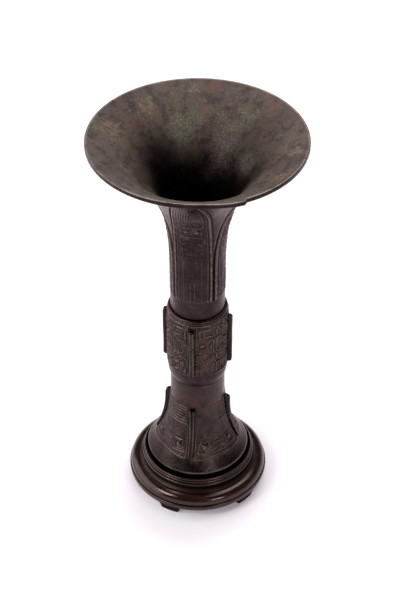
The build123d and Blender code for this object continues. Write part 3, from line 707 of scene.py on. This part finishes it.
def bronze_material():
    """Dark brown bronze: worn ridges and black hollows, partly painted highlight and shade, earth and rust
    in patches, a mottled inside, and painted shade deep in the cup.
    """
    material, tree, shader = new_material("patinated_bronze")
    places = object_places(tree)
    relief, inside, wear, deep, earth, rust, green = (tint(tree, name) for name in (*PLAIN, *STAINS_AND_SHADE))
    broad = grain(places, 38.0, 4.0)
    mottle = grain(places, 150.0, 6.0, 0.65)
    fine = grain(places, 700.0, 4.0, 0.6)
    fleck = grain(object_places(tree, shift=(0.3, 0.1, 0.2)), 850.0, 3.0, 0.6)
    olive = grain(object_places(tree, shift=(0.1, 0.7, 0.4)), 62.0, 6.0, 0.65)
    reddish = grain(object_places(tree, shift=(0.8, 0.2, 0.6)), 78.0, 6.0, 0.65)
    streak = grain(round_axis(places, 22.0, 45.0), 1.0, 4.0, 0.6)

    skin = coat(SKIN_DARK, SKIN_BROWN, broad, 0.35, 0.66)
    skin = coat(skin, SKIN_MOTTLE, mottle, 0.48, 0.74, 0.6)
    skin = coat(skin, SKIN_OLIVE, olive, 0.44, 0.66, 0.5)
    skin = coat(skin, SKIN_PITS, fine, 0.52, 0.30, 0.5)
    # Black hollows and paler ridges with pale flecks: partly patina and rubbing, partly painted shade and
    # highlight
    skin = coat(skin, HOLLOW_BLACK, relief, 0.48, 0.12, 0.92)
    ridge = product(spread(relief, 0.54, 0.90), spread(mottle, 0.35, 0.62, 0.35, 1.0))
    skin = mixed(ridge, skin, RIDGE_BROWN)
    bright = product(spread(relief, 0.52, 0.80), spread(fleck, 0.50, 0.72, 0.0, 0.55))
    skin = mixed(bright, skin, RIDGE_PALE)

    lining = coat(LINING_DARK, LINING_BROWN, broad, 0.32, 0.68)
    lining = coat(lining, LINING_OLIVE, olive, 0.50, 0.68, 0.7)
    lining = coat(lining, LINING_RED, reddish, 0.52, 0.70, 0.7)
    lining = coat(lining, LINING_BLOTCH, mottle, 0.53, 0.36, 0.8)
    lining = coat(lining, LINING_STREAK, streak, 0.48, 0.32, 0.12)
    lining = coat(lining, LINING_SPECK, fleck, 0.58, 0.70, 0.55)
    lining = coat(lining, LINING_PITS, fine, 0.46, 0.28, 0.5)
    colour = mixed(inside, skin, lining)

    moss = patches(places, 75.0, green, 0.60, 1.05, 0.42)
    moss = product(moss, spread(fine, 0.36, 0.62, 0.25, 0.8))
    colour = mixed(moss, colour, coat(MOSS_DARK, MOSS_PALE, fleck, 0.44, 0.66))
    red = patches(places, 85.0, rust, 0.66, 0.98, 0.37)
    red = product(red, spread(fine, 0.36, 0.62, 0.3, 0.7))
    colour = mixed(red, colour, mixed(inside, RUST_OUTSIDE, RUST_INSIDE))
    soil = patches(places, 330.0, earth, 0.64, 0.92, 0.27)
    soil = product(soil, blended(inside, 0.65, 0.75))
    colour = mixed(soil, colour, mixed(inside, SOIL_OUTSIDE, SOIL_INSIDE))
    # The worn colour; on the lip, the foot's edge and the cup's lining it is painted highlight and light,
    # and it also pales the knop and foot
    worn = product(wear, spread(mottle, 0.30, 0.60, 0.4, 1.0))
    colour = mixed(worn, colour, WORN_AND_LIT_BRONZE)
    # Painted shade: the cup goes black in its depth, unevenly
    uneven = product(maths("ADD", streak, mottle), 0.5)
    dark = product(deep, spread(uneven, 0.62, 0.44, 0.92, 1.0))
    colour = mixed(dark, colour, DEEP_SHADE_BLACK)

    dull = product(inside, blended(deep, 0.9, 0.0))
    dull = maths("MAXIMUM", dull, soil)
    rough = blended(spread(mottle, 0.30, 0.72), 0.22, 0.40)
    height = maths("ADD", product(mottle, 0.6), product(fine, 0.4))
    finish = {
        "Base Color": colour,
        "Metallic": blended(dull, 1.0, 0.1),
        "Roughness": blended(dull, rough, 0.62),
        "Specular IOR Level": 0.25,
        "Specular Tint": (1.0, 0.88, 0.92, 1),
        "Normal": bump(height, 0.6, 0.8 * MM),
    }
    set_inputs(shader, finish)
    return material


WOOD_DARK = (0.005, 0.0017, 0.0014, 1)
WOOD_RED = (0.026, 0.0088, 0.0062, 1)
WOOD_PORES = (0.006, 0.003, 0.003, 1)
WOOD_WORN = (0.050, 0.028, 0.022, 1)
WOOD_HOLLOW_SHADE = (0.002, 0.001, 0.001, 1)


def hardwood_material():
    """Very dark reddish-brown hardwood with straight grain, waxed to a gloss."""
    material, tree, shader = new_material("waxed_hardwood")
    streaks = grain(object_places(tree, (14.0, 260.0, 260.0)), 1.0, 6.0, 0.6)
    pores = grain(object_places(tree, (90.0, 2200.0, 2200.0)), 1.0, 3.0, 0.6)
    cloud = grain(object_places(tree), 45.0, 3.0)
    # Painted shade: where the relief tint is low the wood goes black, and metallic so that its gloss goes
    # black too
    hollow = spread(tint(tree, "relief"), 0.5, 0.0)
    colour = coat(WOOD_DARK, WOOD_RED, streaks, 0.30, 0.72)
    colour = coat(colour, WOOD_PORES, pores, 0.62, 0.74, 0.6)
    colour = mixed(product(tint(tree, "wear"), 0.6), colour, WOOD_WORN)
    colour = mixed(hollow, colour, WOOD_HOLLOW_SHADE)
    rough = blended(spread(cloud, 0.35, 0.65), 0.10, 0.16)
    finish = {
        "Base Color": colour,
        "Metallic": hollow,
        "Roughness": blended(hollow, rough, 0.6),
        "Specular IOR Level": 0.5,
        "Specular Tint": (1.0, 0.75, 0.70, 1),
        "Normal": bump(pores, 0.12, 0.3 * MM),
    }
    set_inputs(shader, finish)
    return material


BRONZE = bronze_material()
HARDWOOD = hardwood_material()


def bronze_piece(name, loops, node):
    closed_piece(name, loops, BRONZE, "vessel", "bronze", node)


def wooden_piece(name, loops, node):
    closed_piece(name, loops, HARDWOOD, "stand", "hardwood", node)


# Castings


def dent_lip(loops):
    """Bends the rings near the lip down: slowly deeper along the dent, then back at the crack."""
    start, end = radians(DENT_START), radians(DENT_END)
    for loop in loops:
        radius = np.hypot(loop[:, 0], loop[:, 1])
        share = smooth_step(radius, NECK_HIGH.x - DENT_REACH, NECK_HIGH.x)
        turn = np.arctan2(loop[:, 1], loop[:, 0])
        behind = (turn - start + pi) % (2.0 * pi) - pi
        dent = DENT_DEPTH * smooth_step(behind, 0.0, end - start) * (behind < end - start)
        loop[:, 2] -= share * dent


def neck_lining():
    """Rings of the cup's inside, from the lip down, with painted light on one side."""
    heights = zones(NECK_FLARE[1][1], (2, LINING_EDGE), (26, LINING_BEND), (26, NECK_FLARE[0][1]))
    inner = flare_line(NECK_FLARE, heights, WALL)
    # The lining's top ring carries on the lip's painted highlight
    loops = rings(NECK_COLUMNS, inner[:1], inside=1.0, wear=0.6)
    for start, end, fewer, share in LINING_BANDS:
        count = NECK_COLUMNS // fewer
        # Painted light: the lining is paler towards one turn, near the rim
        side = np.clip(np.cos(turns(count) - radians(LINING_LIT_TURN)), 0.0, 1.0)
        loops += rings(count, inner[start:end], inside=1.0, wear=share * LINING_PAINTED_LIGHT * side)
    return loops


def cast_neck():
    """Trumpet neck: leaf panels outside, a thick lip, and the smooth inside of the cup."""
    count, turn = NECK_COLUMNS, turns(NECK_COLUMNS)
    lip, top = NECK_HIGH.x, NECK_HIGH.z
    heights = zones(
        NECK_SHOULDER,
        (10, LEAF_BOTTOM - 1.0),
        (158, LEAF_SHOULDER),
        (56, LEAF_SHOULDER + LEAF_POINT),
        (8, top - LIP_FACE - LIP_EDGE),
    )
    outer = flare_line(NECK_FLARE, heights)
    level = neck_relief(outer[:, 0], heights, turn)
    level = rubbed(level, turn, heights, seed=5, broken=0.35)
    # Painted shade low on the neck, above the knop's lip
    painted_shade = NECK_BASE_SHADE * smooth_step(heights, KNOP_HIGH.z + 5.0, KNOP_HIGH.z)[:, None]
    tip = smooth_step(heights, LEAF_SHOULDER - 25.0, LEAF_SHOULDER)[:, None]
    loops = rings(count, [(SPIGOT_RADIUS, NECK_SHOULDER)])
    loops += raised_rings(outer, level, LEAF_RELIEF, LEAF_CONTRAST + LEAF_TIP_CONTRAST * tip, painted_shade)
    face = [(lip - LIP_BEVEL, top - LIP_FACE), (lip, top - LIP_FACE + LIP_EDGE), (lip, top - 2 * LIP_EDGE)]
    loops += rings(count, face, relief=0.3)
    # Painted highlight along the top of the lip
    loops += rings(count, [(lip - 0.2, top - 0.25)], wear=0.3)
    loops += rings(count, [(lip - LIP_ROUND, top)], wear=LIP_HIGHLIGHT)
    loops += neck_lining()
    loops += rings(count // 4, [(NECK_BORE, NECK_LOW.z), (SPIGOT_RADIUS, NECK_LOW.z)], inside=1.0)
    loops += rings(count // 2, [(SPIGOT_RADIUS, NECK_LOW.z + 4.0)])
    dent_lip(loops)
    bronze_piece("cast_neck", loops, "neck_section")


def cast_knop():
    """Straight middle with a bordered field of half masks and a rounded shoulder below."""
    count, turn = KNOP_COLUMNS, turns(KNOP_COLUMNS)
    border, lip = KNOP_BORDER_HEIGHT, KNOP_HIGH.z
    shoulder = KNOP_FIELD_BOTTOM - border
    climb = np.linspace(0.0, 1.0, 12)[:-1, None]
    start, end = np.array([(KNOP_END_RADIUS, KNOP_LOW.z), (KNOP_RADIUS, shoulder)])
    bulge = start + (end - start) * climb
    bulge[:, :1] += KNOP_SHOULDER_ROUND * np.sin(pi * climb)
    heights = zones(
        shoulder,
        (7, KNOP_FIELD_BOTTOM),
        (146, KNOP_FIELD_TOP),
        (7, KNOP_FIELD_TOP + border),
        (10, lip - KNOP_LIP_BEAD),
    )
    field = np.stack([np.full(len(heights), KNOP_RADIUS), heights], 1)
    level = knop_relief(heights, turn)
    for low in (shoulder, KNOP_FIELD_TOP):
        level = np.maximum(level, 0.75 * between(heights, low + 0.2, low + border - 0.2)[:, None])
    level = rubbed(level, turn, heights, seed=17, broken=0.9)
    level = level - 0.6 * between(heights, lip - KNOP_LIP_BEAD - 0.6, lip - KNOP_LIP_BEAD - 0.2)[:, None]
    # The knop is made a little paler all over with the worn colour
    loops = rings(count, bulge, wear=KNOP_PALING)
    loops += raised_rings(field, level, KNOP_RELIEF, KNOP_CONTRAST, wear=KNOP_PALING)
    bend = np.linspace(0.0, pi / 2, 8)[1:]
    bead = (KNOP_RADIUS - KNOP_LIP_GROOVE) * np.cos(bend), KNOP_LIP_BEAD * np.sin(bend)
    loops += rings(count, zip(KNOP_LIP_GROOVE + bead[0], lip - KNOP_LIP_BEAD + bead[1]), wear=KNOP_PALING)
    # Painted shade in the gap between the knop's lip and the neck, and down the bore
    loops += rings(count // 2, [(KNOP_LIP_GROOVE - 0.05, lip - 0.4)], relief=0.2)
    loops += rings(count // 2, [(KNOP_LIP_GROOVE - 0.05, NECK_SHOULDER)], relief=0.1)
    loops += rings(count // 4, [(KNOP_BORE, NECK_SHOULDER), (KNOP_BORE, NECK_LOW.z)], relief=0.0)
    cup = [(NECK_BORE, NECK_LOW.z), (NECK_BORE, DISC_HIGH.z)]
    loops += rings(count // 4, cup + [(KNOP_BORE, DISC_HIGH.z), (KNOP_BORE, KNOP_LOW.z + 3.0)], inside=1.0)
    loops += rings(count // 2, [(KNOP_BORE, KNOP_LOW.z)])
    bronze_piece("cast_knop", loops, "knop_section")


def cast_foot():
    """Flaring foot: half masks under level bars, a plain band at the edge, and the foot ring below."""
    count, turn = FOOT_COLUMNS, turns(FOOT_COLUMNS)
    low, high = FOOT_LOW.z, FOOT_HIGH.z
    heights = zones(
        FOOT_EDGE_TOP,
        (8, FOOT_FLANGE_LOW.z - 3.2),
        (146, FOOT_FLANGE_HIGH.z + 3.0),
        (12, KNOP_LOW.z),
    )
    outer = flare_line(FOOT_FLARE, heights)
    level = foot_relief(outer[:, 0], heights, turn)
    level = rubbed(level, turn, heights, seed=29, broken=0.2)
    # Painted shade on the foot's plain band near its edge
    painted_shade = FOOT_BAND_SHADE * smooth_step(heights, FOOT_FLANGE_LOW.z - 1.0, FOOT_FLANGE_LOW.z - 4.0)[1:, None]
    side = [(FOOT_RING_RADIUS, low + SOLE_BEVEL), (FOOT_RING_RADIUS, FOOT_RING_TOP)]
    # Painted shade on the foot ring and under the foot's edge
    loops = rings(count // 4, side, relief=0.2)
    loops += rings(count // 2, [(FOOT_HIGH.x - 0.2, FOOT_EDGE_BOTTOM)], relief=0.2)
    # Painted highlight along the foot's edge
    edge = [(FOOT_HIGH.x, FOOT_EDGE_BOTTOM + 0.3), (FOOT_HIGH.x, FOOT_EDGE_TOP - 0.35)]
    loops += rings(count, edge, wear=0.2)
    # The foot is made a little paler all over with the worn colour
    loops += raised_rings(outer[1:], level[1:], FOOT_RELIEF, FOOT_CONTRAST, painted_shade, wear=FOOT_PALING)
    loops += rings(count // 2, [(SPIGOT_RADIUS, KNOP_LOW.z)])
    loops += rings(count // 4, [(SPIGOT_RADIUS, high), (TUBE_BORE, high)], inside=1.0)
    inner = flare_line(FOOT_FLARE, np.linspace(FOOT_FLARE[0][1], FOOT_EDGE_TOP, 40), WALL)
    inner = inner[inner[:, 0] < FOOT_RING_BORE]
    loops += rings(count // 4, inner, inside=1.0)
    sole = [(FOOT_RING_BORE, inner[-1][1] - 0.6), (FOOT_RING_BORE, low)]
    loops += rings(count // 4, sole + [(FOOT_RING_RADIUS - SOLE_BEVEL, low)], inside=1.0)
    bronze_piece("cast_foot", loops, "foot_section")


def cast_disc():
    """The disc that closes the cup, a little dished."""
    count, radius, low, high = 96, DISC_HIGH.x, DISC_LOW.z, DISC_HIGH.z
    dish = [(radius * 0.9, high), (radius * 0.7, high - 0.2), (radius * 0.35, high - 0.35)]
    loops = [pole(low, inside=1.0)]
    loops += rings(count, [(radius * 0.5, low), (radius, low), (radius, high)] + dish, inside=1.0)
    loops.append(pole(high - 0.4, inside=1.0))
    bronze_piece("cast_disc", loops, "vessel_floor")


# Flanges

FLANGE_HALF = 1.8
FLANGE_SEAT = 0.8
FLANGE_EDGE = 0.75
FLANGE_UNEVEN = 0.1
FLANGE_RINGS = 84
KNOP_FLANGE_RISE = KNOP_FLANGE_HIGH.x - KNOP_RADIUS
# How far a flange stands out at its foot and at its top, how round its ends are and how deep its hollow
KNOP_FLANGE_SHAPE = (KNOP_FLANGE_RISE, KNOP_FLANGE_RISE, 1.5, 0.15)
FOOT_FLANGE_SHAPE = (1.8, 4.2, 2.8, 0.4)


def flange_section(rise, groove):
    """A bar end on, with a hollow along its face: places across and out, and the tint of each, with
    painted shade at the root and painted highlight at the edges.
    """
    turn = np.radians(np.linspace(180.0, 90.0, 5))[1:]
    across = [-FLANGE_HALF] * 3 + list(FLANGE_EDGE * (1.0 + np.cos(turn)) - FLANGE_HALF)
    out = [-FLANGE_SEAT, rise * 0.3, rise - FLANGE_EDGE] + list(rise - FLANGE_EDGE * (1.0 - np.sin(turn)))
    # Painted shade at the root, painted highlight at the edges, and a darker hollow
    tints = [0.2, 0.40, 0.45, 0.55, 0.65, 0.75, 0.75]
    across.append((FLANGE_EDGE - FLANGE_HALF) * 0.5)
    out.append(rise - groove * 0.7)
    tints.append(0.75 - 0.9 * groove)
    left = np.array([across, out, tints]).T
    right = left[::-1] * (-1.0, 1.0, 1.0)
    return np.concatenate([left, [(0.0, rise - groove, 0.75 - 1.25 * groove)], right])


def cast_flange(node, number, wall, low, high, shape):
    """A bar that follows the wall, rounded at the outer corner of each end."""
    low_rise, high_rise, bend, groove = shape
    turn = radians(PANEL_TURN + PANEL_ANGLE * (number - 1))
    even = np.linspace(0.0, 1.0, FLANGE_RINGS)
    share = 0.4 * even + 0.6 * (0.5 - 0.5 * np.cos(pi * even))
    heights = low + (high - low) * share
    radius = flare_line(wall, heights)[:, 0]
    uneven = wander(turn, heights, size=5.0, seed=40 + number)
    swing = wander(turn, heights, size=9.0, seed=60 + number)
    out = np.array([cos(turn), sin(turn), 0.0])
    side = np.array([-sin(turn), cos(turn), 0.0])
    loops = []
    for step, height in enumerate(heights):
        rise = low_rise + (high_rise - low_rise) * share[step] + FLANGE_UNEVEN * uneven[step]
        corner = min(bend, 0.75 * rise)
        end = min(height - low, high - height, corner)
        rise -= corner - sqrt(corner**2 - (corner - end) ** 2)
        section = flange_section(rise, groove)
        points = np.zeros((len(section), POINT_COLUMNS))
        points[:, :3] = np.outer(radius[step] + section[:, 1], out)
        points[:, :3] += np.outer(section[:, 0] + FLANGE_UNEVEN * swing[step], side)
        points[:, 2] = height
        points[:, RELIEF_COLUMN] = section[:, 2]
        loops.append(points)
    bronze_piece(f"cast_{node}_{number}", capped(loops), f"{node}_{number}")


def cast_flanges():
    wall = ((KNOP_RADIUS, 0.0), (KNOP_RADIUS, KNOP_HIGH.z), 2.0)
    knop = (wall, KNOP_FLANGE_LOW.z, KNOP_FLANGE_HIGH.z, KNOP_FLANGE_SHAPE)
    foot = (FOOT_FLARE, FOOT_FLANGE_LOW.z, FOOT_FLANGE_HIGH.z, FOOT_FLANGE_SHAPE)
    for number in range(1, PANEL_COUNT + 1):
        cast_flange("knop_flange", number, *knop)
        cast_flange("foot_flange", number, *foot)


# Stand

OVOLO = 6.0
OVOLO_SETBACK = 0.8
BAND_HEIGHT = 3.4
BAND_ROUND = 0.7
GROOVE_HEIGHT = 0.9
GROOVE_DEPTH = 1.8


def arc_points(centre, radius, start, end, count):
    """Points (radius, height) along an arc, by its angles from straight outwards."""
    turn = np.radians(np.linspace(start, end, count))
    return list(zip(centre[0] + radius * np.cos(turn), centre[1] + radius * np.sin(turn)))


def turned_base():
    """Disc with a rounded band, a fine groove and an ovolo above it."""
    count, radius, low, high = WOOD_COLUMNS, BASE_HIGH.x, BASE_LOW.z, BASE_HIGH.z
    inset = radius - BAND_ROUND
    band_top = low + BAND_HEIGHT
    groove_top = band_top + GROOVE_HEIGHT
    groove = radius - GROOVE_DEPTH
    ovolo_edge = radius - OVOLO_SETBACK
    loops = [pole(low)]
    loops += rings(count, [(radius * 0.5, low), (inset - 0.5, low)])
    loops += rings(count, arc_points((inset, low + BAND_ROUND), BAND_ROUND, -90.0, 0.0, 5))
    loops += rings(count, arc_points((inset, band_top - BAND_ROUND), BAND_ROUND, 0.0, 90.0, 6), wear=0.5)
    cut = [(groove + 0.2, band_top), (groove, band_top + 0.2), (groove, groove_top - 0.2)]
    # Painted shade in the groove and at the ovolo's edge
    loops += rings(count, cut + [(groove + 0.3, groove_top)], relief=0.0)
    loops += rings(count, [(ovolo_edge - 0.15, groove_top)], relief=0.2)
    loops += rings(count, arc_points((ovolo_edge - OVOLO, high - OVOLO), OVOLO, 2.0, 90.0, 18))
    loops += rings(count, [(ovolo_edge - OVOLO - 2.0, high), (radius * 0.5, high)])
    loops.append(pole(high))
    wooden_piece("turned_base", loops, "stand_base")


COVE_TOP = 4.3
COVE_RADIUS = 38.9
COVE_HOLLOW = 1.1
BEADS = ((39.3, 5.25, 0.95), (38.5, 7.15, 0.8), (37.95, 8.9, 0.85))
COLLAR_MOUTH_RADIUS = 37.4
SOCKET_RADIUS = 34.2
SOCKET_DEPTH = 1.4
COLLAR_BORE = 29.0


def turned_collar():
    """Ring with a cove, three beads and the socket for the vessel's foot ring."""
    count, foot, low, high = WOOD_COLUMNS, COLLAR_HIGH.x, BASE_HIGH.z, COLLAR_HIGH.z
    seat = FOOT_LOW.z
    loops = rings(count, [(foot - 0.1, low), (foot, low + 0.15), (foot, low + 0.45)], wear=0.4)
    climb = np.linspace(0.0, 1.0, 10)
    hollow = foot - 0.1 + (COVE_RADIUS - foot) * climb - COVE_HOLLOW * np.sin(pi * climb)
    cove = list(zip(hollow, low + 0.6 + (COVE_TOP - 0.6) * climb))
    # Painted shade in the cove and at the foot of each bead
    loops += rings(count, cove[:3], relief=0.25)
    loops += rings(count, cove[3:], relief=0.08)
    for radius, rise, size in BEADS:
        bead = arc_points((radius, low + rise), size, -80.0, 85.0, 9)
        loops += rings(count, bead[:1], relief=0.0)
        loops += rings(count, bead[1:-1], wear=0.3)
        loops += rings(count, bead[-1:], relief=0.0)
    loops += rings(count, [(COLLAR_MOUTH_RADIUS + 0.3, high), (COLLAR_MOUTH_RADIUS, high - 0.25)])
    socket = [(SOCKET_RADIUS, seat + SOCKET_DEPTH), (SOCKET_RADIUS, seat)]
    loops += rings(count, socket + [(COLLAR_BORE, seat), (COLLAR_BORE, low)])
    wooden_piece("turned_collar", loops, "stand_collar")


STAND_FOOT_COUNT = 5
STAND_FOOT_TURN = -105.0
STAND_FOOT_WIDTH = 13.5
STAND_FOOT_DEPTH = 9.0
STAND_FOOT_SETBACK = 2.1
STAND_FOOT_FLARE = 1.7
STAND_FOOT_POWER = 1.4
STAND_FOOT_CORNER = 0.7
STAND_FOOT_EASE = 0.5
STAND_FOOT_STEPS = 17
STAND_FOOT_ROWS = 8


def foot_loop(turn, height, grow):
    """Level outline of a stand foot, painted black as shade by its relief tint of 0: an arc in front, cut
    corners and a straight back.
    """
    front = BASE_HIGH.x - STAND_FOOT_SETBACK + grow
    back = BASE_HIGH.x - STAND_FOOT_SETBACK - STAND_FOOT_DEPTH - grow
    half = STAND_FOOT_WIDTH / 2 + grow
    across = np.linspace(-half, half, STAND_FOOT_STEPS)
    corner = STAND_FOOT_CORNER * (np.abs(across) == half)
    reach = np.concatenate([np.sqrt(front**2 - across**2) - corner, back + corner])
    across = np.concatenate([across, across[::-1]])
    # A relief tint of 0 gives the feet the painted shade of the hollows
    points = np.zeros((len(across), POINT_COLUMNS))
    points[:, 0] = reach * cos(turn) - across * sin(turn)
    points[:, 1] = reach * sin(turn) + across * cos(turn)
    points[:, 2] = height
    return points


def carved_feet():
    """Short bracket feet that widen towards the base, with softened edges."""
    for number in range(1, STAND_FOOT_COUNT + 1):
        turn = radians(STAND_FOOT_TURN + 360.0 / STAND_FOOT_COUNT * (number - 1))
        loops = []
        for row in range(STAND_FOOT_ROWS + 1):
            share = row / STAND_FOOT_ROWS
            grow = STAND_FOOT_FLARE * share**STAND_FOOT_POWER - STAND_FOOT_EASE * (row == 0)
            loops.append(foot_loop(turn, BASE_LOW.z * share, grow))
        wooden_piece(f"carved_foot_{number}", capped(loops), f"stand_foot_{number}")


cast_neck()
cast_knop()
cast_foot()
cast_disc()
cast_flanges()
turned_base()
turned_collar()
carved_feet()


# Studio

FLOOR_HALF = 20.0
SHADOW_REACH = (0.046, 0.088)
SHADOW_SCALE = (1.2, 0.94, 1.0)
SHADOW_SHIFT = (0.0, 0.008, 0.0)
FLOOR_NEAR = (0.80, 0.80, 0.80, 1)
FLOOR_FAR = (0.25, 0.25, 0.25, 1)
# The lilac glow near the stand paints the tint of its shadow
LILAC_SHADOW_GLOW = (1.0, 0.8, 1.0, 1)
GLOW_FAR = (1.0, 1.0, 1.0, 1)
GLOW_STRENGTHS = (0.17, 0.95)
SKY_COLOUR = (1.0, 0.99, 0.98, 1)
LAMP_AIM = 0.12


def pale_floor():
    """White floor that keeps the shadow near the stand and is plain white further off."""
    half = FLOOR_HALF
    corners = [(-half, -half, 0), (half, -half, 0), (half, half, 0), (-half, half, 0)]
    mesh = bpy.data.meshes.new("studio_floor")
    mesh.from_pydata(corners, [], [(0, 1, 2, 3)])
    floor = add_object("studio_floor", mesh)
    material, tree, shader = new_material("pale_floor")
    places = object_places(tree, SHADOW_SCALE, SHADOW_SHIFT)
    away = add_node(tree, "VectorMath", {0: places}, operation="LENGTH").outputs["Value"]
    far = spread(away, *SHADOW_REACH)
    rays = add_node(tree, "LightPath")
    seen = maths("MAXIMUM", rays.outputs["Is Camera Ray"], rays.outputs["Is Glossy Ray"])
    seen = maths("MAXIMUM", seen, rays.outputs["Is Transmission Ray"])
    finish = {
        "Base Color": mixed(far, FLOOR_NEAR, FLOOR_FAR),
        "Roughness": 0.9,
        "Specular IOR Level": 0.0,
        "Emission Color": mixed(far, LILAC_SHADOW_GLOW, GLOW_FAR),
        "Emission Strength": product(seen, blended(far, *GLOW_STRENGTHS)),
    }
    set_inputs(shader, finish)
    mesh.materials.append(material)


def studio_world():
    """White round the horizon, grey overhead."""
    world = bpy.data.worlds.new("studio")
    bpy.context.scene.world = world
    world.use_nodes = True
    tree = world.node_tree
    direction = add_node(tree, "TexCoord").outputs["Generated"]
    rise = add_node(tree, "SeparateXYZ", {"Vector": direction}).outputs["Z"]
    background = tree.nodes["Background"]
    set_inputs(background, {"Color": SKY_COLOUR, "Strength": spread(rise, 0.05, 0.32, 1.0, 0.12)})


def soft_lamp(name, turn, rise, distance, size, power):
    """A rectangular lamp that faces the vessel, with its power in watts."""
    data = bpy.data.lights.new(name, "AREA")
    data.shape = "RECTANGLE"
    data.size, data.size_y = size
    data.energy = power
    lamp = add_object(name, data)
    level = cos(radians(rise))
    turn = radians(turn)
    away = Vector((level * cos(turn), level * sin(turn), sin(radians(rise))))
    lamp.location = Vector((0.0, 0.0, LAMP_AIM)) + away * distance
    lamp.rotation_euler = (-away).to_track_quat("-Z", "Y").to_euler()


CAMERA_TURN = 10.5
CAMERA_DISTANCE = 788.4
CAMERA_SHIFT = 1.6
CAMERA_HEIGHT = 821.1
CAMERA_PITCH = 39.94
CAMERA_LENS = 91.86


def photo_camera():
    """Camera above the front of the mouth, looking down at the vessel."""
    data = bpy.data.cameras.new("photo_camera")
    data.sensor_width = 36.0
    data.lens = CAMERA_LENS
    camera = add_object("photo_camera", data)
    turn = radians(CAMERA_TURN)
    right = Vector((cos(turn), sin(turn), 0.0))
    back = Vector((sin(turn), -cos(turn), 0.0))
    camera.location = (back * CAMERA_DISTANCE + right * CAMERA_SHIFT + Vector((0, 0, CAMERA_HEIGHT))) * MM
    camera.rotation_euler = (radians(90.0 - CAMERA_PITCH), 0.0, turn)
    bpy.context.scene.camera = camera


pale_floor()
studio_world()
soft_lamp("key_lamp", turn=-138.0, rise=43.0, distance=1.5, size=(0.55, 0.45), power=8.0)
soft_lamp("side_lamp", turn=-172.0, rise=25.0, distance=1.5, size=(2.1, 1.3), power=18.5)
soft_lamp("strip_lamp", turn=-49.0, rise=24.0, distance=1.4, size=(0.40, 0.17), power=3.4)
soft_lamp("top_lamp", turn=72.0, rise=72.0, distance=1.6, size=(1.2, 1.2), power=16.5)
photo_camera()
bpy.context.scene.view_settings.view_transform = "Standard"
